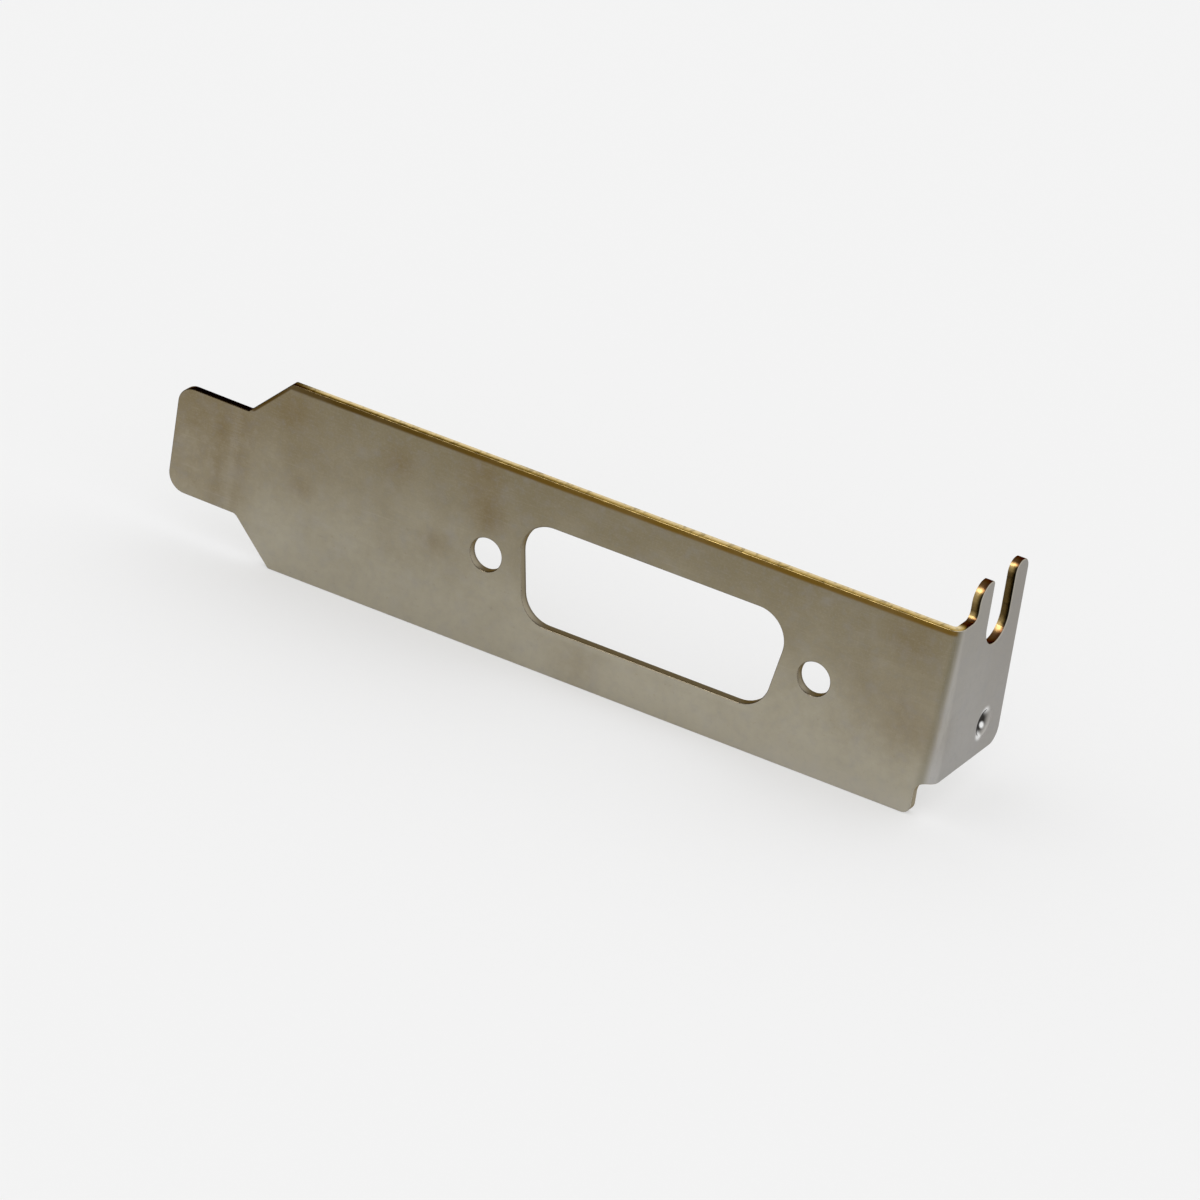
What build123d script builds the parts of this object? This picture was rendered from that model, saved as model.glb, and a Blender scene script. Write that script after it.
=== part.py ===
from build123d import *
import os
from math import cos, radians, sin, tan

# Low profile bracket for an expansion card, cut and folded from one piece of steel sheet.
# The plate stands upright along X, with its card side at Y = 0 and the tab folded towards +Y.
# The origin is midway between the two connector screw holes, on the card side.
# Lengths are in millimetres and angles in degrees.

# Sheet, with its cut edges rounded over on the card side
sheet_thickness = 0.86
fold_inner_radius = 0.30
cut_edge_radius = 0.10

# Plate
overall_length = 79.20
plate_width = 18.42

# Tongue, which drops into the slot of the chassis and is set back a little from the plate
tongue_length = 7.40
tongue_width = 10.30
tongue_lower_tip_radius = 1.80
tongue_upper_tip_radius = 1.55
tongue_root_radius = 0.80
shoulder_angle = 45.0
shoulder_radius = 0.30
set_back_angle = 1.5
set_back_radius = 20.0
set_back_from_tip = 6.80

# Tab, folded square to the plate, stepped up from its lower edge and reaching past its upper one
tab_depth = 12.40
tab_step = 3.40
prong_reach = 3.17
tab_corner_radius = 1.50
relief_length = 1.75
relief_radius = 1.25
relief_corner_radius = 0.90

# Open slot for the chassis screw, between two prongs
slot_width = 4.34
slot_depth = 6.90
prong_width = 2.36
front_prong_outer_radius = 1.70
front_prong_inner_radius = 0.45
front_prong_root_radius = 0.80
rear_prong_tip_radius = 1.10

# Dimple pressed into the screw-head side of the tab
dimple_diameter = 2.60
dimple_depth = 0.50
dimple_wall = 0.70
dimple_rim_radius = 0.20
dimple_from_rear_edge = 3.70
dimple_above_lower_edge = 3.05

# Connector opening, a D shape, with a screw hole at each end
connector_from_tongue_tip = 49.67
connector_screw_spacing = 33.32
connector_screw_hole_diameter = 3.20
opening_middle_width = 26.00
opening_height = 9.65
opening_side_angle = 10.0
opening_corner_radius = 2.90

# Length by which the cutting outlines run past the sheet, and how near two shapes touch
overrun = 2.0
touching = 0.001

# Places worked out from the sizes
plate_bottom = -plate_width / 2
plate_top = plate_width / 2
tongue_tip = -connector_from_tongue_tip
tab_face = tongue_tip + overall_length
tab_bottom = plate_bottom + tab_step
tab_top = plate_top + prong_reach
fold_outer_radius = fold_inner_radius + sheet_thickness
fold_start = tab_face - fold_outer_radius
relief_edge = tab_face - relief_length
rear_prong_front = tab_depth - prong_width
slot_middle = rear_prong_front - slot_width / 2
front_prong_rear = rear_prong_front - slot_width
front_prong_front = front_prong_rear - prong_width
strip_low = plate_bottom - overrun
strip_width = tab_top + overrun - strip_low


def sheet_line(shift):
    """The line at a given depth in the sheet, from past the tongue's tip to the end of the tab."""
    turn = radians(set_back_angle)
    bend = tongue_tip + set_back_from_tip
    run = set_back_from_tip / cos(turn) + overrun
    tip = (bend - run * cos(turn) + shift * sin(turn), run * sin(turn) + shift * cos(turn))
    tongue_root = (bend + shift * tan(turn / 2), shift)
    fold = (tab_face - shift, shift)
    tab_end = (tab_face - shift, tab_depth + overrun)
    depth_left = sheet_thickness - shift
    radii = [set_back_radius + depth_left, fold_inner_radius + depth_left]
    return FilletPolyline(tip, tongue_root, fold, tab_end, radius=radii)


def folded_strip():
    """The sheet's folded section, drawn across the whole width."""
    card_side = sheet_line(0)
    chassis_side = sheet_line(sheet_thickness)
    tip_end = Line(card_side @ 0, chassis_side @ 0)
    tab_end = Line(card_side @ 1, chassis_side @ 1)
    section = make_face([card_side, chassis_side, tip_end, tab_end])
    return Pos(0, 0, strip_low) * extrude(section, strip_width, dir=(0, 0, 1))


def front_outline():
    """The outline seen square to the plate: tongue, shoulders, plate and relief, open over the tab."""
    shoulder_start = tongue_tip + tongue_length
    shoulder_end = shoulder_start + (plate_width - tongue_width) / 2 / tan(radians(shoulder_angle))
    past_tab = tab_face + overrun
    corners = [
        (tongue_tip, -tongue_width / 2, tongue_lower_tip_radius),
        (shoulder_start, -tongue_width / 2, tongue_root_radius),
        (shoulder_end, plate_bottom, shoulder_radius),
        (relief_edge, plate_bottom, relief_corner_radius),
        (relief_edge, tab_bottom, relief_radius),
        (past_tab, tab_bottom, 0),
        (past_tab, tab_top + overrun, 0),
        (fold_start, tab_top + overrun, 0),
        (fold_start, plate_top, 0),
        (shoulder_end, plate_top, shoulder_radius),
        (shoulder_start, tongue_width / 2, shoulder_radius),
        (tongue_tip, tongue_width / 2, tongue_upper_tip_radius),
    ]
    points = [(x, z) for x, z, radius in corners]
    radii = [radius for x, z, radius in corners]
    face = Plane.XZ * make_face(FilletPolyline(points, radius=radii, close=True))
    return extrude(face, tab_depth + overrun, both=True)


def tab_outline():
    """The outline seen square to the tab: its step, lower corner, slot and two prongs."""
    past_plate = -overrun
    below_plate = plate_bottom - overrun
    corners = [
        (past_plate, below_plate, 0),
        (fold_outer_radius, below_plate, 0),
        (fold_outer_radius, tab_bottom, 0),
        (tab_depth, tab_bottom, tab_corner_radius),
        (tab_depth, tab_top, 0),
        (front_prong_front, tab_top, 0),
        (front_prong_front, plate_top, front_prong_root_radius),
        (past_plate, plate_top, 0),
    ]
    points = [(y, z) for y, z, radius in corners]
    radii = [radius for y, z, radius in corners]
    face = make_face(FilletPolyline(points, radius=radii, close=True))
    slot_end = tab_top - slot_depth + slot_width / 2
    slot_height = tab_top + overrun - slot_end
    face -= Pos(slot_middle, slot_end) * Circle(slot_width / 2)
    face -= Pos(slot_middle, slot_end + slot_height / 2) * Rectangle(slot_width, slot_height)
    rear_tip = min(rear_prong_tip_radius, 0.48 * prong_width)
    front_tip = min(front_prong_outer_radius, 0.96 * prong_width - front_prong_inner_radius)
    rounded = {
        front_prong_front: front_tip,
        front_prong_rear: front_prong_inner_radius,
        rear_prong_front: rear_tip,
        tab_depth: rear_tip,
    }
    for place, radius in rounded.items():
        top_corners = face.vertices().group_by(Axis.Y)[-1]
        face = fillet(top_corners.sort_by_distance((place, tab_top))[0], radius)
    return extrude(Plane.YZ * face, overall_length, both=True)


def through_plate(outline):
    """A cut through the plate, of an outline drawn as it is seen from the card side."""
    return extrude(Plane.XZ * outline, sheet_thickness + overrun, both=True)


def connector_opening():
    """The D-shaped opening for the connector's shell, wider at the top."""
    spread = opening_height / 2 * tan(radians(opening_side_angle))
    wide = opening_middle_width / 2 + spread
    narrow = opening_middle_width / 2 - spread
    half = opening_height / 2
    points = [(-wide, half), (wide, half), (narrow, -half), (-narrow, -half)]
    return through_plate(make_face(FilletPolyline(points, radius=opening_corner_radius, close=True)))


def connector_screw_holes():
    """The two round holes for the connector's screws, one at each end of the opening."""
    places = GridLocations(connector_screw_spacing, 0, 2, 1)
    return through_plate(Sketch(places * Circle(connector_screw_hole_diameter / 2)))


def rolled_edges(sheet):
    """The sheet with its cut edges rounded over on the card side, where the punches go in."""
    surface = Pos(0, 0, strip_low) * Shell.extrude(sheet_line(0), (0, 0, strip_width))
    faces = [face for face in sheet.faces() if surface.distance_to(Vertex(*face.center())) < touching]
    edges = [edge for face in faces for edge in face.edges()]
    return fillet([edge for edge in edges if edges.count(edge) == 1], cut_edge_radius)


def dimple_ball(place, growth):
    """A ball whose cap has the dimple's width and depth, made larger by a given thickness."""
    half = dimple_diameter / 2
    ball_radius = (half**2 + dimple_depth**2) / (2 * dimple_depth)
    return place * Pos(ball_radius - dimple_depth, 0, 0) * Sphere(ball_radius + growth)


def pressed_dimple(sheet):
    """The sheet with the dimple pressed into the tab, and its bump on the other side."""
    place = Pos(tab_face, tab_depth - dimple_from_rear_edge, tab_bottom + dimple_above_lower_edge)
    span = 2 * dimple_diameter
    behind = Box(span, span, span, align=(Align.MAX, Align.CENTER, Align.CENTER))
    sheet += dimple_ball(place, dimple_wall) & (place * Pos(-sheet_thickness, 0, 0) * behind)
    sheet -= dimple_ball(place, 0)
    rims = sheet.edges().filter_by(GeomType.CIRCLE)
    return fillet(rims.sort_by_distance(place.position)[0], dimple_rim_radius)


bracket = folded_strip() & front_outline() & tab_outline()
bracket -= connector_opening()
bracket -= connector_screw_holes()
bracket = rolled_edges(bracket)
bracket = pressed_dimple(bracket)

os.makedirs("parts", exist_ok=True)
bracket.label = "bracket"
export_step(bracket, "parts/bracket.step")
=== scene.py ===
import math

import bmesh
import bpy
from mathutils import Matrix, Vector


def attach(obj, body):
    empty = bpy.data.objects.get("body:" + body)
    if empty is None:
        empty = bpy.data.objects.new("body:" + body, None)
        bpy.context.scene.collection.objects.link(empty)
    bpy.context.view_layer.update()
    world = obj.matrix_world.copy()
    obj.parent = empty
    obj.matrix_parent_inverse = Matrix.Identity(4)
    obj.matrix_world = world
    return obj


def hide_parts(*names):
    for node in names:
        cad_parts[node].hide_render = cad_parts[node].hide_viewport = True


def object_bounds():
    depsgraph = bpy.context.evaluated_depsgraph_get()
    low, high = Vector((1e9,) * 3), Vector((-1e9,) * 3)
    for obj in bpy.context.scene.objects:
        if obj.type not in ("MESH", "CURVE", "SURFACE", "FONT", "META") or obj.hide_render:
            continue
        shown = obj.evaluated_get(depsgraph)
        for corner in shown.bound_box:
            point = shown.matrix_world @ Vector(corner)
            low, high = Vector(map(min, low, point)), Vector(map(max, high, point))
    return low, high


bl_info = {
    "name": "Low profile bracket",
    "version": (1, 0, 0),
    "blender": (4, 5, 0),
    "location": "3D View > Sidebar > Bracket",
    "description": "Rounds and finishes a folded sheet bracket and sets up its studio",
    "category": "Object",
}

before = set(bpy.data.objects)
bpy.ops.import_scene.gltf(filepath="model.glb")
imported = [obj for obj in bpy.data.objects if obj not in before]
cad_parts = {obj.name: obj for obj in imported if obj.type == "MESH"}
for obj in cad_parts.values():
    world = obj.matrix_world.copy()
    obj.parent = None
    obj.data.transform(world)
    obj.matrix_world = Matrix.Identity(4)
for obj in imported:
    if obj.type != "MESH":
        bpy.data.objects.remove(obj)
cad_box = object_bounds()

MM = 0.001

# The sheet's own places, in metres
SHEET = 0.86 * MM
PLATE_BOTTOM = cad_box[0].z
PLATE_HEIGHT = 18.42 * MM
PLATE_TOP = PLATE_BOTTOM + PLATE_HEIGHT
TONGUE_END = cad_box[0].x + 7.4 * MM
TAB_FACE = cad_box[1].x
FOLD_OUTER_RADIUS = 1.16 * MM
FOLD_START = TAB_FACE - FOLD_OUTER_RADIUS
DIMPLE_CENTRE = Vector((TAB_FACE, 8.70 * MM, -2.76 * MM))
DIMPLE_REACH = 2.3 * MM

# The upper shoulder's slope: the tongue's edge that it starts from, and its place along less up
TONGUE_TOP = 5.15 * MM
SHOULDER_SLOPE = TONGUE_END - TONGUE_TOP

# The connector opening and its screw holes
OPENING_HALF_HEIGHT = 4.825 * MM
OPENING_HALF_WIDTH = 10.5 * MM
HOLES_END = 18.4 * MM

# How the copy is cleaned, and what counts as a cut edge
MERGE_DISTANCE = 1e-6
FLAT_ANGLE = math.radians(0.1)
CUT_ANGLE = math.radians(40)
SHADE_ANGLE = math.radians(50)
FACING = 0.93

# From here to the studio, a pair of places or levels in brackets is where a change starts and where
# it is complete. A strength of 0 leaves what lies under a thing, and 1 covers it.

# Patterns in the plating: size of their features, detail and roughness
CLOUD = (5 * MM, 4.0, 0.55)
MOTTLE = (0.9 * MM, 3.0, 0.65)
PATCHES = (2.2 * MM, 2.0, 0.6)
SPECKLE = (0.22 * MM, 2.0, 0.7)
FRECKLES = (0.5 * MM, 2.0, 0.7)
GRAIN = (0.12 * MM, 2.0, 0.6)
SCRATCHES = (0.3 * MM, 1.0, 0.4)

# How the patterns are scaled: all through the thickness, and grain and scratches along the sheet
PLATING_DEPTH_SCALE = 8
GRAIN_SCALE = 0.06
SCRATCH_SCALE = 0.03
SCRATCH_SLANT = 0.3

# Sides of the sheet: how deep its card side counts, where the plate ends before the fold's line,
# and the side of the tab that the dimple is pressed into
CARD_SIDE_END = (0.35 * SHEET, 0.45 * SHEET)
PLATE_END = (-0.4 * MM, 0.2 * MM)
PRESSED_SIDE = (TAB_FACE - 0.72 * MM, TAB_FACE - 0.66 * MM)

# Tarnishing and painted shade up the plate: their range, what of them is uneven, and how much lighter
# the plate's lower right part is
TARNISH_AND_SHADE = (-0.30, 1.10)
CLOUD_IN_TARNISH_AND_SHADE = 0.5
MOTTLE_IN_TARNISH_AND_SHADE = 0.3
RIGHT_PART = (-30 * MM, 25 * MM)
LIGHTER_RIGHT = 0.12

# The tab: its tarnishing and painted shade, how these grow up the tab, and its shade towards the rear
# edge
TAB_TARNISH_AND_SHADE = 0.25
UP_TAB = (1 * MM, 9 * MM)
UP_TAB_TARNISH_AND_SHADE = 0.07
TAB_REAR = (3 * MM, 12 * MM)
REAR_STRENGTH = 0.25
REAR_COLOUR = (0.288, 0.260, 0.231)

# The dark line of painted shade along the fold: where it meets the sheet's start of fold, its lean
# per height, the change from plate to tab across it, and its half width, strength and colour
FOLD_LINE_LOW = -5.7 * MM
FOLD_LINE_LEAN = 0.085
PLATE_TO_TAB = (-0.3 * MM, 0.9 * MM)
CREASE_SHADE_WIDTH = 0.85 * MM
CREASE_SHADE_STRENGTH = 0.30
CREASE_SHADE_COLOUR = (0.085, 0.090, 0.060)

# Brown stains in the plating: place along and up the plate, radius and strength. They fade out at
# their radius times the spread.
STAINS = [
    (-18.0, 7.2, 2.2, 0.75),
    (-17.2, 4.0, 1.9, 0.85),
    (-26.5, 5.5, 1.7, 0.55),
    (-22.0, -0.5, 1.6, 0.45),
    (-35.8, -0.3, 1.3, 0.40),
    (-6.2, -7.3, 2.6, 0.35),
    (25.1, 7.6, 2.6, 0.45),
    (26.8, -1.0, 2.8, 0.35),
    (-38.0, 7.6, 2.4, 0.55),
    (-38.0, 4.5, 6.0, 0.30),
    (24.5, 0.0, 5.0, 0.26),
]
STAIN_SPREAD = 1.6

# The tongue's stain: where it fades out on the plate, and how it grows up the tongue
TONGUE = (TONGUE_END - 1.0 * MM, TONGUE_END + 3.0 * MM)
TONGUE_STAIN = 0.42
UP_TONGUE = (-5 * MM, 3 * MM)
UP_TONGUE_STAIN = 0.20

# How the patterns break up all the stains, and the brown freckles
CLOUD_IN_STAIN = 0.8
MOTTLE_IN_STAIN = 0.5
STAIN_EVERYWHERE = 0.15
STAIN_KEPT = (0.2, 1.0)
FRECKLED = (0.60, 0.80)
FRECKLE_STRENGTH = 0.25

# Marks that run up the tongue at its set-back bend: a brown one and a paler one beside it
BROWN_MARK = -44.8 * MM
BROWN_MARK_STAIN = 0.12
PALE_MARK = -43.3 * MM
PALE_MARK_STRENGTH = 0.07
MARK_WIDTH = 0.9 * MM

# Fine variation: what of the scratches shows, then the strengths and colours of the patterns
SCRATCHED = (0.70, 0.76)
SCRATCH_STRENGTH = 0.05
GRAIN_STRENGTH = 0.20
GRAIN_COLOUR = (0.62, 0.60, 0.55)
MOTTLE_TINT = (0.70, (0.30, 0.31, 0.33))
PATCH_TINT = (0.45, (0.34, 0.35, 0.41))
SPECKLE_TINT = (0.45, (0.48, 0.42, 0.36))

# The cleaner band along the lower edge, right of the opening's middle
CLEAN_UP = (PLATE_BOTTOM, PLATE_BOTTOM + 2.5 * MM)
CLEAN_ALONG = (4 * MM, 18 * MM)
CLEAN_STRENGTH = 0.22
CLEAN_COLOUR = (0.60, 0.58, 0.54)

# The line where the face rolls over to its upper edge: its width, how much narrower it is along the
# shoulder, where it starts above the tongue, and how it turns from dark to brown along the plate
ROLLED_WIDTH = (0.38 * MM, 0.66 * MM)
SHOULDER_NARROWING = 1.7
ABOVE_TONGUE = (TONGUE_TOP, TONGUE_TOP + 0.3 * MM)
LINE_STRENGTH = 0.62
CLOUD_IN_LINE = 0.7
LINE_BROWNING = (-40 * MM, 0.0)
LINE_BROWN = 0.45
LINE_BROWNER = 0.55

# The painted highlight on the rim below the opening
RIM_BELOW = 0.25 * MM
RIM_WIDTH = 0.35 * MM
RIM_END = (OPENING_HALF_WIDTH, OPENING_HALF_WIDTH + 1.0 * MM)
RIM_HIGHLIGHT_STRENGTH = 0.30

# The dimple, as distances from its middle: its painted shade inside, the rim along which its glints
# are painted with the rim's half width, and its polished part, with how much less rough that is
DIMPLE_SHADED = (0.70 * MM, 1.30 * MM)
DIMPLE_SHADE_STRENGTH = 0.95
DIMPLE_RIM = 1.25 * MM
DIMPLE_RIM_WIDTH = 0.62 * MM
DIMPLE_POLISHED = (1.3 * MM, 1.7 * MM)
DIMPLE_POLISH = 0.60

# Glints painted on the dimple: place from its middle across and up the tab, radius and strength.
# The gain widens their full middles.
RIM_GLINTS = [(-0.02, 0.92, 1.15, 1.00), (-0.70, -1.05, 0.95, 0.95)]
INSIDE_GLINTS = [(0.48, -0.48, 0.42, 0.90)]
GLINT_GAIN = 1.7

# How the plating takes the light: its tint at grazing angles, what varies its roughness, and its
# small relief
PLATING_TINT = (0.60, 0.60, 0.60, 1.0)
CLOUD_ROUGHNESS = 0.12
GRAIN_ROUGHNESS = 0.08
STAIN_ROUGHNESS = 0.06
GRAIN_RELIEF = 0.6
MOTTLE_RELIEF = 0.5
PLATING_RELIEF = 0.010 * MM
PLATING_RELIEF_STRENGTH = 0.4

# Patterns on the cut edge, in the same way, and how they are scaled through the thickness
WANDER = (1.4 * MM, 3.0, 0.6)
STREAKS = (0.16 * MM, 2.0, 0.6)
BLOTCHES = (0.55 * MM, 3.0, 0.7)
GRIT = (0.20 * MM, 3.0, 0.65)
EDGE_DEPTH_SCALE = 0.5

# Bands of the cut edge, as shares of the thickness: where it turns torn and then bright, a painted
# highlight, how much their borders wander, and how much later the tab's edges turn torn. Then where
# the tab starts.
TORN = (-0.08, 0.40)
TORN_WANDER = 0.25
BRIGHT = (0.30, 0.82)
BRIGHT_WANDER = 0.4
LATER_ON_TAB = 0.24
TAB_START = (1.0 * MM, 2.0 * MM)

# How yellow the torn band is: along the plate as a painted highlight, deep in it, and not on the
# tongue or the shoulder
YELLOW_HIGHLIGHT_ALONG = (-30 * MM, 5 * MM)
YELLOW = 0.40
YELLOW_HIGHLIGHT = 0.60
YELLOW_DEEP = (0.20, 0.55)
PAST_SHOULDER = (-39.0 * MM, -34.5 * MM)

# How much duller, browner and darker the tab's cut edges are, and where they are painted dark brown
# as shade: where they face up, above the dimple
TAB_DULLER = 0.7
TAB_BROWNER = 0.55
TAB_DARKER = 0.30
FACING_UP = (0.45, 0.90)
ABOVE_DIMPLE = (2 * MM, 4 * MM)
TIP_SHADE_STRENGTH = 0.90

# Dark streaks, blotches and grit on the cut edge
STREAKS_MIDDLE = 0.45
STREAK_STRENGTH = 0.45
BLOTCHED = (0.48, 0.66)
BLOTCH_STRENGTH = 0.42
GRITTY = (0.6, 0.8)
GRIT_STRENGTH = 0.3

# Paler parts of the cut edge: low on the bracket, and where it faces the tab, which is a painted
# reflection
LOW_PART = (-7.0 * MM, -4.0 * MM)
LOW_STRENGTH = 0.85
TO_RIGHT = (0.10, 0.65)
RIGHT_REFLECTION_STRENGTH = 0.9

# Walls of the opening and the holes: where they are, their dark lip, and the dark far half of those
# that face the tab, which are painted pale as a reflection and have no dark lip
INSIDE_ALONG = (HOLES_END, HOLES_END + 0.5 * MM)
INSIDE_UP = (OPENING_HALF_HEIGHT + 0.1 * MM, OPENING_HALF_HEIGHT + 0.4 * MM)
INSIDE_STRENGTH = 0.97
LIP = (0.08, 0.22)
LIP_STRENGTH = 0.62
FAR_HALF = (0.55, 1.0)
FAR_STRENGTH = 0.55

# How the cut edge takes the light, in the plating's order
EDGE_TINT = (0.40, 0.32, 0.20, 1.0)
EDGE_ROUGHNESS = 0.26
TORN_ROUGHNESS = 0.12
GRIT_ROUGHNESS = 0.2
STREAK_RELIEF = 0.6
EDGE_RELIEF = 0.015 * MM
EDGE_RELIEF_STRENGTH = 0.5

# The studio: the floor and the lamp in metres, and the camera's sensor in millimetres
FLOOR_HALF_WIDTH = 3.0
FLOOR_FIBRE = (0.6 * MM, 4.0, 0.6)
FLOOR_SHADE = 0.985
FLOOR_ROUGHNESS = 0.9
LAMP_AIM = Vector((29.0 * MM, 0.4 * MM, 10.0 * MM))
LAMP_DIRECTION = Vector((-0.387, -0.434, 0.812))
LAMP_DISTANCE = 0.70
LAMP_WIDTH = 0.25
SENSOR_WIDTH = 36.0
WHITE = (1.0, 1.0, 1.0, 1.0)


def colour_setting(name, description, default):
    """A colour that the sidebar shows."""
    return bpy.props.FloatVectorProperty(
        name=name, description=description, default=default, subtype="COLOR", min=0.0, max=1.0
    )


class LooksSettings(bpy.types.PropertyGroup):
    """Sizes and colours of the bracket's finish."""

    edge_round: bpy.props.FloatProperty(
        name="Edge rounding",
        description="Radius left on the cut edges by stamping and plating",
        default=0.09 * MM,
        min=0.0,
        unit="LENGTH",
        precision=5,
    )
    edge_steps: bpy.props.IntProperty(
        name="Edge steps",
        description="Facets across each rounded edge",
        default=3,
        min=1,
        max=6,
    )
    # The plating's lower and upper colours differ by tarnishing and by painted shade.
    plating_low: colour_setting(
        "Plating, lower",
        "Paler satin plating along the plate's lower edge",
        (0.450, 0.415, 0.330),
    )
    plating_high: colour_setting(
        "Plating, upper",
        "Darker, browner plating along the plate's upper edge, partly painted shade",
        (0.212, 0.177, 0.108),
    )
    plating_tab: colour_setting(
        "Plating, tab",
        "Cooler plating on the folded tab",
        (0.474, 0.461, 0.441),
    )
    stain: colour_setting(
        "Stain",
        "Brown stains in the plating",
        (0.185, 0.135, 0.062),
    )
    # Painted shade inside the dimple.
    dimple_shade: colour_setting(
        "Dimple, shaded",
        "Painted shade inside the pressed dimple",
        (0.014, 0.012, 0.010),
    )
    # Painted glints on the dimple.
    dimple_glint: colour_setting(
        "Painted glints",
        "Glints painted on the dimple",
        (1.0, 1.0, 0.99),
    )
    rolled_line: colour_setting(
        "Rolled line",
        "Brown line where the face rolls over to its upper edge, and brown of the tab's cut edges",
        (0.155, 0.088, 0.014),
    )
    edge_dark: colour_setting(
        "Burnished edge",
        "Dark band of the cut edge, beside the face that was cut first",
        (0.012, 0.008, 0.004),
    )
    edge_gold: colour_setting(
        "Torn edge",
        "Yellowed band of the cut edge, towards the far face",
        (0.58, 0.415, 0.155),
    )
    # Painted highlight on the torn band beside the far face.
    edge_cream: colour_setting(
        "Bright edge",
        "Bright band of the cut edge, beside the far face",
        (0.80, 0.67, 0.42),
    )
    # Painted shade on the tab's cut edges that face up.
    edge_tip_shade: colour_setting(
        "Prong tips",
        "Dark brown of the prongs' tips and of the slot's end",
        (0.045, 0.018, 0.007),
    )
    edge_inside: colour_setting(
        "Inside edge",
        "Brown walls of the connector opening and the screw holes",
        (0.120, 0.100, 0.070),
    )
    # Painted reflection: walls that face the tab are paler.
    edge_right: colour_setting(
        "Edge facing the tab",
        "Walls of the opening and the holes that face the tab, painted pale as a reflection",
        (0.290, 0.255, 0.190),
    )
    # Paler low on the bracket, and a painted reflection where the edge faces the tab.
    edge_pale: colour_setting(
        "Pale edge",
        "Paler parts of the cut edge, low on the bracket, and a painted reflection facing the tab",
        (0.46, 0.43, 0.36),
    )
    roughness: bpy.props.FloatProperty(
        name="Roughness",
        description="Roughness of the satin plating",
        default=0.40,
        min=0.0,
        max=1.0,
        subtype="FACTOR",
    )


class StageSettings(bpy.types.PropertyGroup):
    """Floor, light and camera."""

    floor_colour: colour_setting("Floor", "Colour of the floor", (0.905, 0.905, 0.905))
    softened: bpy.props.FloatProperty(
        name="Softened shadow",
        description="How much of the floor's shadow is kept from the camera",
        default=0.45,
        min=0.0,
        max=1.0,
        subtype="FACTOR",
    )
    room_light: bpy.props.FloatProperty(
        name="Room light",
        description="Brightness of the even light from all round",
        default=1.0,
        min=0.0,
    )
    top_light: bpy.props.FloatProperty(
        name="Top light",
        description="Power of the soft lamp high in front, which glints on the rounded corners",
        default=5.5,
        min=0.0,
        unit="POWER",
    )
    azimuth: bpy.props.FloatProperty(
        name="Azimuth",
        description="How far round towards the tab the camera stands",
        default=math.radians(25.485),
        subtype="ANGLE",
    )
    elevation: bpy.props.FloatProperty(
        name="Elevation",
        description="Camera's angle above the horizon",
        default=math.radians(25.812),
        subtype="ANGLE",
    )
    roll: bpy.props.FloatProperty(
        name="Roll",
        description="Camera's turn about its own line of sight",
        default=math.radians(9.028),
        subtype="ANGLE",
    )
    distance: bpy.props.FloatProperty(
        name="Distance",
        description="From the camera to the point that it looks at",
        default=700.09 * MM,
        unit="LENGTH",
    )
    aim: bpy.props.FloatVectorProperty(
        name="Aim",
        description="The point that the camera looks at",
        default=(-7.30 * MM, 5.12 * MM, -2.90 * MM),
        subtype="TRANSLATION",
    )
    lens: bpy.props.FloatProperty(
        name="Lens",
        description="Focal length in millimetres on a 36 mm sensor",
        default=236.28,
        min=1.0,
    )


class Value:
    """A number that varies over a surface. Arithmetic on it adds Math nodes."""

    def __init__(self, finish, socket):
        self.finish = finish
        self.socket = socket

    def math(self, operation, first, second):
        node = self.finish.node("ShaderNodeMath", {"operation": operation}, {0: first, 1: second})
        return Value(self.finish, node.outputs[0])

    def __add__(self, other):
        return self.math("ADD", self, other)

    def __radd__(self, other):
        return self.math("ADD", other, self)

    def __sub__(self, other):
        return self.math("SUBTRACT", self, other)

    def __rsub__(self, other):
        return self.math("SUBTRACT", other, self)

    def __mul__(self, other):
        return self.math("MULTIPLY", self, other)

    def __rmul__(self, other):
        return self.math("MULTIPLY", other, self)

    def __truediv__(self, other):
        return self.math("DIVIDE", self, other)

    def __rtruediv__(self, other):
        return self.math("DIVIDE", other, self)

    def larger(self, other):
        return self.math("MAXIMUM", self, other)

    def smaller(self, other):
        return self.math("MINIMUM", self, other)

    def size(self):
        """The number without its sign."""
        return self.math("ABSOLUTE", self, 0.0)

    def centred(self):
        """Noise about 0.5, brought to vary about 0."""
        return self - 0.5

    def step(self, low, high):
        """0 below low, 1 above high and a smooth rise between."""
        settings = {"interpolation_type": "SMOOTHSTEP"}
        node = self.finish.node("ShaderNodeMapRange", settings, {0: self, 1: low, 2: high})
        return Value(self.finish, node.outputs[0])

    def band(self, middle, half_width):
        """1 where the number has a given value, falling smoothly to 0 at either side of it."""
        return 1 - (self - middle).size().step(0.0, half_width)


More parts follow.
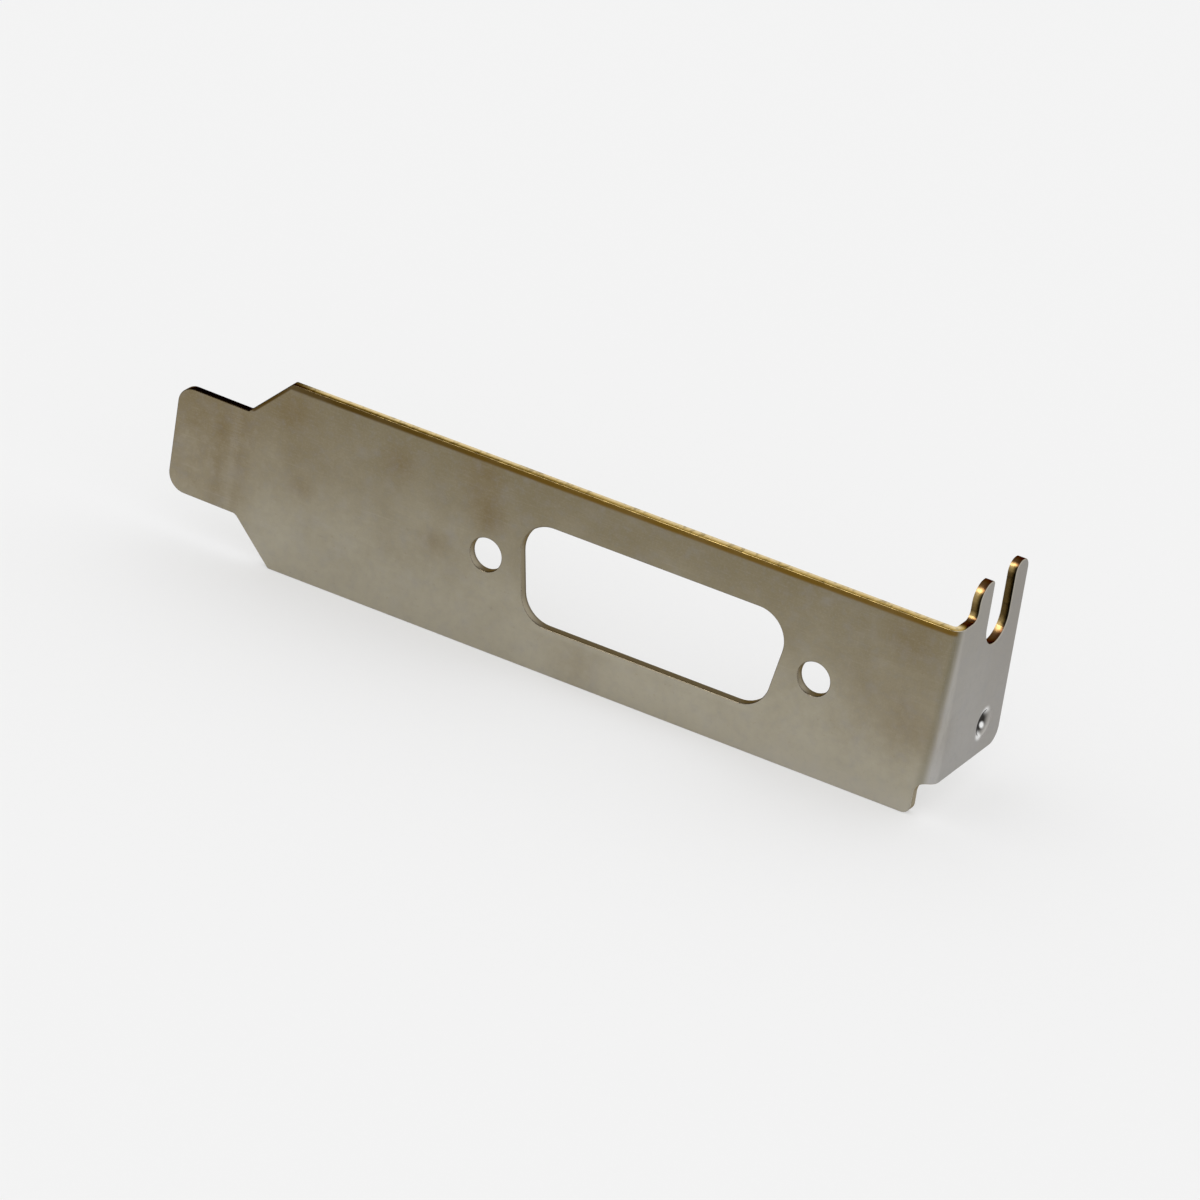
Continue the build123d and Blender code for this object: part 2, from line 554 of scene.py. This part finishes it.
class Finish:
    """One material and its nodes."""

    def __init__(self, name):
        self.material = bpy.data.materials.new(name)
        self.material.use_nodes = True
        self.tree = self.material.node_tree
        self.shader = self.tree.nodes["Principled BSDF"]
        coordinates = self.node("ShaderNodeTexCoord").outputs
        self.place = coordinates["Object"]
        self.facing = coordinates["Normal"]

    def node(self, kind, settings=None, inputs=None):
        """A node of a given type. Its settings come first, then its sockets' values or links."""
        node = self.tree.nodes.new(kind)
        for name, value in (settings or {}).items():
            setattr(node, name, value)
        for name, value in (inputs or {}).items():
            self.feed(node.inputs[name], value)
        return node

    def feed(self, socket, value):
        """Give a socket a value, or link one to it."""
        if isinstance(value, Value):
            value = value.socket
        if isinstance(value, bpy.types.NodeSocket):
            self.tree.links.new(value, socket)
        elif socket.type == "RGBA":
            socket.default_value = (*value, 1.0)
        else:
            socket.default_value = value

    def axes(self, vector):
        """The three parts of a vector."""
        node = self.node("ShaderNodeSeparateXYZ", inputs={0: vector})
        return [Value(self, socket) for socket in node.outputs]

    def vector(self, x, y, z):
        """A vector from its three parts."""
        return self.node("ShaderNodeCombineXYZ", inputs={0: x, 1: y, 2: z}).outputs[0]

    def noise(self, vector, size, detail, roughness):
        """Smooth noise about 0.5, with features of a given size in metres."""
        inputs = {"Vector": vector, "Scale": 1 / size, "Detail": detail, "Roughness": roughness}
        return Value(self, self.node("ShaderNodeTexNoise", inputs=inputs).outputs[0])

    def mix(self, factor, first, second):
        """A colour between two colours. A Mix node's sockets 6 and 7 and output 2 are its colours."""
        inputs = {"Factor": factor, 6: first, 7: second}
        return self.node("ShaderNodeMix", {"data_type": "RGBA"}, inputs).outputs[2]

    def distance(self, centre, places):
        """How far given places are from a point."""
        inputs = {0: places, 1: tuple(centre)}
        node = self.node("ShaderNodeVectorMath", {"operation": "DISTANCE"}, inputs)
        return Value(self, node.outputs["Value"])

    def spot(self, centre, radius, places):
        """1 at a point, falling smoothly to 0 at a distance from it."""
        return 1 - self.distance(centre, places).step(0.0, radius)

    def metal(self, colour, tint, roughness):
        """Make the material a metal."""
        self.feed(self.shader.inputs["Base Color"], colour)
        self.feed(self.shader.inputs["Roughness"], roughness)
        self.shader.inputs["Metallic"].default_value = 1.0
        self.shader.inputs["Specular Tint"].default_value = tint

    def bump(self, height, depth, strength):
        """Small relief of a given depth in metres, felt by the light alone."""
        inputs = {"Height": height, "Distance": depth, "Strength": strength}
        self.feed(self.shader.inputs["Normal"], self.node("ShaderNodeBump", inputs=inputs).outputs[0])


class Sheet:
    """Where the surface lies on the folded sheet: along it, up it and how deep in its thickness."""

    def __init__(self, finish, depth_scale):
        self.x, self.y, self.z = finish.axes(finish.place)
        to_tab_face = TAB_FACE - self.x
        self.along = self.y.larger(to_tab_face)
        self.depth = self.y.smaller(to_tab_face)
        self.laid_flat = finish.vector(self.along, self.depth * depth_scale, self.z)


class PlatedSheet(Sheet):
    """The sheet's two sides, with the masks and patterns that parts of their plating share."""

    def __init__(self, finish):
        super().__init__(finish, PLATING_DEPTH_SCALE)
        fold_line = (self.z - FOLD_LINE_LOW) * FOLD_LINE_LEAN + FOLD_START
        self.past_line = self.x + self.y - fold_line
        self.on_plate = 1 - self.past_line.step(*PLATE_END)
        self.card_side = 1 - self.depth.step(*CARD_SIDE_END)
        self.cloud = finish.noise(self.laid_flat, *CLOUD)
        self.mottle = finish.noise(self.laid_flat, *MOTTLE)
        self.grain = finish.noise(finish.vector(self.along * GRAIN_SCALE, 0.0, self.z), *GRAIN)


def tarnished_and_shaded(finish, sheet, looks):
    """Plating that darkens up the plate by tarnishing and painted shade, cooler on the tab, with a
    grey line of painted shade along the fold.
    """
    # Painted shade with tarnishing: darker and browner up the plate, lighter to the lower right.
    height = (sheet.z - PLATE_BOTTOM) / PLATE_HEIGHT
    tarnish_and_shade = height - sheet.x.step(*RIGHT_PART) * (1 - height) * LIGHTER_RIGHT
    tarnish_and_shade = tarnish_and_shade + sheet.cloud.centred() * CLOUD_IN_TARNISH_AND_SHADE
    tarnish_and_shade = (tarnish_and_shade + sheet.mottle.centred() * MOTTLE_IN_TARNISH_AND_SHADE).step(*TARNISH_AND_SHADE)
    plate = finish.mix(tarnish_and_shade, looks.plating_low, looks.plating_high)
    # The tab darkens upwards by the same tarnishing and painted shade.
    on_tab = tarnish_and_shade * TAB_TARNISH_AND_SHADE + sheet.z.step(*UP_TAB) * UP_TAB_TARNISH_AND_SHADE
    tab = finish.mix(on_tab, looks.plating_tab, looks.plating_high)
    tab = finish.mix(sheet.y.step(*TAB_REAR) * REAR_STRENGTH, tab, REAR_COLOUR)
    colour = finish.mix(sheet.past_line.step(*PLATE_TO_TAB), plate, tab)
    # Painted shade: a dark line where the fold starts to turn.
    crease_shade = sheet.past_line.band(0.0, CREASE_SHADE_WIDTH)
    return finish.mix(crease_shade * sheet.card_side * CREASE_SHADE_STRENGTH, colour, CREASE_SHADE_COLOUR)


def stain_strength(finish, sheet):
    """How stained the plating is: brown spots, the tongue and a mark up it, all uneven."""
    stain = 0.0
    for across, up, radius, strength in STAINS:
        centre = (across * MM, 0.0, up * MM)
        stain = stain + finish.spot(centre, radius * STAIN_SPREAD * MM, finish.place) * strength
    tongue = 1 - sheet.x.step(*TONGUE)
    stain = stain + tongue * (TONGUE_STAIN + sheet.z.step(*UP_TONGUE) * UP_TONGUE_STAIN)
    stain = stain + sheet.x.band(BROWN_MARK, MARK_WIDTH) * BROWN_MARK_STAIN
    uneven = sheet.cloud * CLOUD_IN_STAIN + sheet.mottle * MOTTLE_IN_STAIN + STAIN_EVERYWHERE
    return stain * uneven.step(*STAIN_KEPT)


def mottled(finish, sheet, colour, looks):
    """The plating with freckles, a pale mark, grain, scratches, fine patches and a clean band."""
    freckles = finish.noise(sheet.laid_flat, *FRECKLES).step(*FRECKLED)
    colour = finish.mix(freckles * FRECKLE_STRENGTH, colour, looks.stain)
    slanted = sheet.along * SCRATCH_SCALE + sheet.z * SCRATCH_SLANT
    scratches = finish.noise(finish.vector(slanted, 0.0, sheet.z), *SCRATCHES).step(*SCRATCHED)
    shine = sheet.x.band(PALE_MARK, MARK_WIDTH) * PALE_MARK_STRENGTH + scratches * SCRATCH_STRENGTH
    shine = shine + sheet.grain.centred() * GRAIN_STRENGTH
    colour = finish.mix(shine, colour, GRAIN_COLOUR)
    for pattern, (strength, tint) in (
        (sheet.mottle, MOTTLE_TINT),
        (finish.noise(sheet.laid_flat, *PATCHES), PATCH_TINT),
        (finish.noise(sheet.laid_flat, *SPECKLE), SPECKLE_TINT),
    ):
        colour = finish.mix(pattern.centred() * strength, colour, tint)
    clean = (1 - sheet.z.step(*CLEAN_UP)) * sheet.x.step(*CLEAN_ALONG)
    return finish.mix(clean * CLEAN_STRENGTH, colour, CLEAN_COLOUR)


def lined(finish, sheet, colour, looks):
    """The plating with the line along its upper edge and the painted highlight on the rim below the
    opening.
    """
    to_slope = (sheet.x - sheet.z - SHOULDER_SLOPE) * math.sqrt(0.5)
    to_edge = (PLATE_TOP - sheet.z).smaller(to_slope * SHOULDER_NARROWING)
    rolled = (1 - to_edge.step(*ROLLED_WIDTH)) * sheet.on_plate * sheet.card_side
    rolled = rolled * sheet.z.step(*ABOVE_TONGUE)
    brown = LINE_BROWN + sheet.x.step(*LINE_BROWNING) * LINE_BROWNER
    line_colour = finish.mix(brown, looks.edge_dark, looks.rolled_line)
    strength = LINE_STRENGTH + sheet.cloud * CLOUD_IN_LINE
    colour = finish.mix(rolled * strength, colour, line_colour)
    # Painted highlight on the face's rim below the opening.
    rim = sheet.z.band(-OPENING_HALF_HEIGHT - RIM_BELOW, RIM_WIDTH)
    rim = rim * (1 - sheet.x.size().step(*RIM_END)) * sheet.on_plate
    return finish.mix(rim * RIM_HIGHLIGHT_STRENGTH, colour, looks.plating_low)


def dimpled(finish, sheet, colour, looks):
    """The plating with the dimple's painted shade inside and painted glints, and a mask of its
    polished part.
    """
    on_tab = finish.vector(TAB_FACE, sheet.y, sheet.z)
    from_middle = finish.distance(DIMPLE_CENTRE, on_tab)
    pressed_side = sheet.x.step(*PRESSED_SIDE)
    # Painted shade inside the dimple.
    shaded = (1 - from_middle.step(*DIMPLE_SHADED)) * pressed_side
    colour = finish.mix(shaded * DIMPLE_SHADE_STRENGTH, colour, looks.dimple_shade)
    # Painted glints on the dimple's rim and inside it.
    on_rim = from_middle.band(DIMPLE_RIM, DIMPLE_RIM_WIDTH) * GLINT_GAIN
    for spots, gain in ((RIM_GLINTS, on_rim), (INSIDE_GLINTS, GLINT_GAIN)):
        for across, up, radius, strength in spots:
            centre = DIMPLE_CENTRE + Vector((0.0, across * MM, up * MM))
            painted_glint = (finish.spot(centre, radius * MM, on_tab) * gain).smaller(1.0)
            colour = finish.mix(painted_glint * pressed_side * strength, colour, looks.dimple_glint)
    return colour, (1 - from_middle.step(*DIMPLE_POLISHED)) * pressed_side


def plated_face(looks):
    """Satin plating: rolled grain, tarnishing and painted shade towards the top, brown stains and a
    dimple with painted shade and glints.
    """
    finish = Finish("plated_face")
    sheet = PlatedSheet(finish)
    stain = stain_strength(finish, sheet)
    colour = finish.mix(stain, tarnished_and_shaded(finish, sheet, looks), looks.stain)
    colour = mottled(finish, sheet, colour, looks)
    colour = lined(finish, sheet, colour, looks)
    colour, polished = dimpled(finish, sheet, colour, looks)
    rough = looks.roughness + sheet.cloud.centred() * CLOUD_ROUGHNESS
    rough = rough + sheet.grain.centred() * GRAIN_ROUGHNESS + stain * STAIN_ROUGHNESS
    finish.metal(colour, PLATING_TINT, rough * (1 - polished * DIMPLE_POLISH))
    relief = sheet.grain * GRAIN_RELIEF + sheet.mottle * MOTTLE_RELIEF
    finish.bump(relief, PLATING_RELIEF, PLATING_RELIEF_STRENGTH)
    return finish.material


class SheetEdge(Sheet):
    """The sheet's cut edge, with its depth as a share of the thickness and the masks it needs."""

    def __init__(self, finish):
        super().__init__(finish, EDGE_DEPTH_SCALE)
        self.share = self.depth / SHEET
        self.on_tab = self.y.step(*TAB_START)
        facing_x, _, facing_z = finish.axes(finish.facing)
        self.to_right = facing_x.step(*TO_RIGHT)
        self.upward = facing_z.step(*FACING_UP)
        self.grit = finish.noise(finish.place, *GRIT)


def torn_strength(edge, wander):
    """How torn and yellowed the cut edge is, with a painted highlight along the plate, from its dark
    band to its far side.
    """
    torn = edge.share + wander.centred() * TORN_WANDER - edge.on_tab * LATER_ON_TAB
    # Painted highlight: the torn band grows yellower along the plate.
    yellow_and_highlight = YELLOW + edge.x.step(*YELLOW_HIGHLIGHT_ALONG) * YELLOW_HIGHLIGHT
    yellow_and_highlight = yellow_and_highlight.larger(edge.share.step(*YELLOW_DEEP)) * edge.x.step(*PAST_SHOULDER)
    return torn.step(*TORN) * yellow_and_highlight * (1 - edge.on_tab * TAB_DARKER)


def sheared(finish, edge, wander, torn, looks):
    """The cut edge's colour along the outline and on the tab, and its streaks for the relief."""
    # Painted highlight: the torn band turns bright cream towards the far face.
    bright = (edge.share + wander.centred() * BRIGHT_WANDER).step(*BRIGHT)
    bright = bright * (1 - edge.on_tab * TAB_DULLER)
    torn_colour = finish.mix(bright, looks.edge_gold, looks.edge_cream)
    torn_colour = finish.mix(edge.on_tab * TAB_BROWNER, torn_colour, looks.rolled_line)
    colour = finish.mix(torn, looks.edge_dark, torn_colour)
    streaks = finish.noise(edge.laid_flat, *STREAKS)
    colour = finish.mix((streaks - STREAKS_MIDDLE) * STREAK_STRENGTH, colour, looks.edge_dark)
    blotches = finish.noise(edge.laid_flat, *BLOTCHES).step(*BLOTCHED)
    colour = finish.mix(blotches * BLOTCH_STRENGTH, colour, looks.edge_dark)
    colour = finish.mix(edge.grit.step(*GRITTY) * GRIT_STRENGTH, colour, looks.stain)
    # Painted shade: the tab's cut edges dark brown where they face up, above the dimple.
    tips = edge.on_tab * edge.upward * edge.z.step(*ABOVE_DIMPLE)
    colour = finish.mix(tips * TIP_SHADE_STRENGTH, colour, looks.edge_tip_shade)
    low = (1 - edge.z.step(*LOW_PART)) * LOW_STRENGTH
    # Painted reflection: the cut edge is paler where it faces the tab.
    colour = finish.mix(low.larger(edge.to_right * RIGHT_REFLECTION_STRENGTH), colour, looks.edge_pale)
    return colour, streaks


def inside_walls(finish, edge, colour, looks):
    """The cut edge with the walls of the opening and of the screw holes."""
    inside = 1 - edge.x.size().step(*INSIDE_ALONG)
    inside = inside * (1 - edge.z.size().step(*INSIDE_UP))
    # Painted reflection: walls that face the tab are paler.
    wall = finish.mix(edge.to_right, looks.edge_inside, looks.edge_right)
    lip = (1 - edge.share.step(*LIP)) * (1 - edge.to_right)
    wall = finish.mix(lip * LIP_STRENGTH, wall, looks.edge_dark)
    far = edge.share.step(*FAR_HALF) * edge.to_right
    wall = finish.mix(far * FAR_STRENGTH, wall, looks.edge_dark)
    return finish.mix(inside * INSIDE_STRENGTH, colour, wall)


def cut_edge(looks):
    """Sheared edge: a dark burnished band, then a yellowed torn one with a painted highlight, with
    streaks across.
    """
    finish = Finish("cut_edge")
    edge = SheetEdge(finish)
    wander = finish.noise(edge.laid_flat, *WANDER)
    torn = torn_strength(edge, wander)
    colour, streaks = sheared(finish, edge, wander, torn, looks)
    colour = inside_walls(finish, edge, colour, looks)
    rough = EDGE_ROUGHNESS + torn * TORN_ROUGHNESS + edge.grit.centred() * GRIT_ROUGHNESS
    finish.metal(colour, EDGE_TINT, rough)
    finish.bump(streaks * STREAK_RELIEF + edge.grit * torn, EDGE_RELIEF, EDGE_RELIEF_STRENGTH)
    return finish.material


def floor_finish(stage):
    """Pale matt paper, of which the camera sees the shadow softened."""
    finish = Finish("pale_paper")
    colour = tuple(stage.floor_colour)
    shade = tuple(FLOOR_SHADE * part for part in colour)
    fibre = finish.noise(finish.place, *FLOOR_FIBRE)
    finish.feed(finish.shader.inputs["Base Color"], finish.mix(fibre, shade, colour))
    finish.shader.inputs["Roughness"].default_value = FLOOR_ROUGHNESS
    finish.shader.inputs["Specular IOR Level"].default_value = 0.0
    seen = Value(finish, finish.node("ShaderNodeLightPath").outputs["Is Camera Ray"])
    evenly = finish.node("ShaderNodeEmission", inputs={"Color": colour}).outputs[0]
    inputs = {0: seen * stage.softened, 1: finish.shader.outputs[0], 2: evenly}
    shown = finish.node("ShaderNodeMixShader", inputs=inputs)
    finish.feed(finish.tree.nodes["Material Output"].inputs["Surface"], shown.outputs[0])
    return finish.material


def add_piece(name, shape):
    """A mesh object at the origin, made from a bmesh."""
    mesh = bpy.data.meshes.new(name)
    shape.to_mesh(mesh)
    shape.free()
    piece = bpy.data.objects.new(name, mesh)
    bpy.context.scene.collection.objects.link(piece)
    return piece


def is_cut_edge(face):
    """True where a face belongs to the sheared thickness and not to a side of the sheet."""
    centre = face.calc_center_median()
    if (centre - DIMPLE_CENTRE).length < DIMPLE_REACH:
        return False
    if centre.x < FOLD_START:
        return abs(face.normal.y) < FACING
    if centre.y < FOLD_OUTER_RADIUS:
        return abs(face.normal.z) > math.sqrt(1 - FACING**2)
    return abs(face.normal.x) < FACING


def rounded_sheet(node, looks):
    """A copy of the folded sheet with its cut edges rounded."""
    shape = bmesh.new()
    shape.from_mesh(node.data)
    bmesh.ops.remove_doubles(shape, verts=shape.verts, dist=MERGE_DISTANCE)
    bmesh.ops.dissolve_limit(shape, angle_limit=FLAT_ANGLE, verts=shape.verts, edges=shape.edges)
    cut = [
        edge
        for edge in shape.edges
        if len(edge.link_faces) == 2 and edge.is_convex and edge.calc_face_angle() > CUT_ANGLE
    ]
    bmesh.ops.bevel(
        shape,
        geom=cut,
        offset=looks.edge_round,
        offset_type="OFFSET",
        segments=looks.edge_steps,
        profile=0.5,
        affect="EDGES",
        clamp_overlap=True,
        material=-1,
    )
    shape.normal_update()
    for face in shape.faces:
        face.smooth = True
        face.material_index = int(is_cut_edge(face))
    for edge in shape.edges:
        edge.smooth = len(edge.link_faces) == 2 and edge.calc_face_angle() < SHADE_ANGLE
    return shape


class BRACKET_OT_build_bracket(bpy.types.Operator):
    """Build the bracket: the folded sheet with rounded cut edges, plating and stains"""

    bl_idname = "bracket.build_bracket"
    bl_label = "Build bracket"
    bl_options = {"REGISTER", "UNDO"}

    def execute(self, context):
        looks = context.scene.bracket_looks
        piece = add_piece("bracket_sheet", rounded_sheet(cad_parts["bracket"], looks))
        piece.data.materials.append(plated_face(looks))
        piece.data.materials.append(cut_edge(looks))
        normals = piece.modifiers.new("Even shading", "WEIGHTED_NORMAL")
        normals.keep_sharp = True
        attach(piece, "root")
        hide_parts("bracket")
        return {"FINISHED"}


def add_floor(stage):
    """A pale floor under the plate's lower edge."""
    shape = bmesh.new()
    under = Matrix.Translation((0.0, 0.0, PLATE_BOTTOM))
    bmesh.ops.create_grid(shape, x_segments=1, y_segments=1, size=FLOOR_HALF_WIDTH, matrix=under)
    floor = add_piece("floor", shape)
    floor.data.materials.append(floor_finish(stage))


def add_room(stage):
    """Even light from all round."""
    world = bpy.data.worlds.new("room")
    world.use_nodes = True
    room = world.node_tree.nodes["Background"]
    room.inputs["Color"].default_value = WHITE
    room.inputs["Strength"].default_value = stage.room_light
    bpy.context.scene.world = world


def add_top_lamp(stage):
    """A square soft lamp high in front, which faces the fold's top. It glints in metal only."""
    data = bpy.data.lights.new("top_lamp", "AREA")
    data.shape = "SQUARE"
    data.size = LAMP_WIDTH
    data.energy = stage.top_light
    data.cycles.max_bounces = 0
    lamp = bpy.data.objects.new("top_lamp", data)
    away = LAMP_DIRECTION.normalized()
    lamp.location = LAMP_AIM + away * LAMP_DISTANCE
    lamp.rotation_mode = "QUATERNION"
    lamp.rotation_quaternion = (-away).to_track_quat("-Z", "Y")
    lamp.visible_diffuse = False
    lamp.visible_camera = False
    bpy.context.scene.collection.objects.link(lamp)


def add_camera(stage):
    """The camera at the photograph's place, with its roll."""
    data = bpy.data.cameras.new("camera")
    data.lens = stage.lens
    data.sensor_width = SENSOR_WIDTH
    camera = bpy.data.objects.new("camera", data)
    bpy.context.scene.collection.objects.link(camera)
    bpy.context.scene.camera = camera
    level = math.cos(stage.elevation)
    back = Vector(
        (
            math.sin(stage.azimuth) * level,
            -math.cos(stage.azimuth) * level,
            math.sin(stage.elevation),
        )
    )
    upright = (-back).to_track_quat("-Z", "Y").to_matrix()
    turned = upright @ Matrix.Rotation(stage.roll, 3, "Z")
    place = Vector(stage.aim) + back * stage.distance
    camera.matrix_world = Matrix.Translation(place) @ turned.to_4x4()


class BRACKET_OT_build_stage(bpy.types.Operator):
    """Build the stage: pale floor, soft light and the camera"""

    bl_idname = "bracket.build_stage"
    bl_label = "Build stage"
    bl_options = {"REGISTER", "UNDO"}

    def execute(self, context):
        stage = context.scene.bracket_stage
        add_floor(stage)
        add_room(stage)
        add_top_lamp(stage)
        add_camera(stage)
        context.scene.view_settings.view_transform = "Standard"
        return {"FINISHED"}


class BRACKET_PT_sidebar(bpy.types.Panel):
    """Lists the bracket's builders and their settings"""

    bl_idname = "BRACKET_PT_sidebar"
    bl_label = "Bracket"
    bl_space_type = "VIEW_3D"
    bl_region_type = "UI"
    bl_category = "Bracket"

    def draw(self, context):
        for operator, settings in (
            (BRACKET_OT_build_bracket, context.scene.bracket_looks),
            (BRACKET_OT_build_stage, context.scene.bracket_stage),
        ):
            self.layout.operator(operator.bl_idname)
            for name in settings.__annotations__:
                self.layout.prop(settings, name)


CLASSES = (
    LooksSettings,
    StageSettings,
    BRACKET_OT_build_bracket,
    BRACKET_OT_build_stage,
    BRACKET_PT_sidebar,
)


def register():
    for item in CLASSES:
        bpy.utils.register_class(item)
    bpy.types.Scene.bracket_looks = bpy.props.PointerProperty(type=LooksSettings)
    bpy.types.Scene.bracket_stage = bpy.props.PointerProperty(type=StageSettings)


def unregister():
    del bpy.types.Scene.bracket_stage
    del bpy.types.Scene.bracket_looks
    for item in reversed(CLASSES):
        bpy.utils.unregister_class(item)


def main():
    register()
    bpy.ops.bracket.build_bracket()
    bpy.ops.bracket.build_stage()


if __name__ == "__main__":
    main()
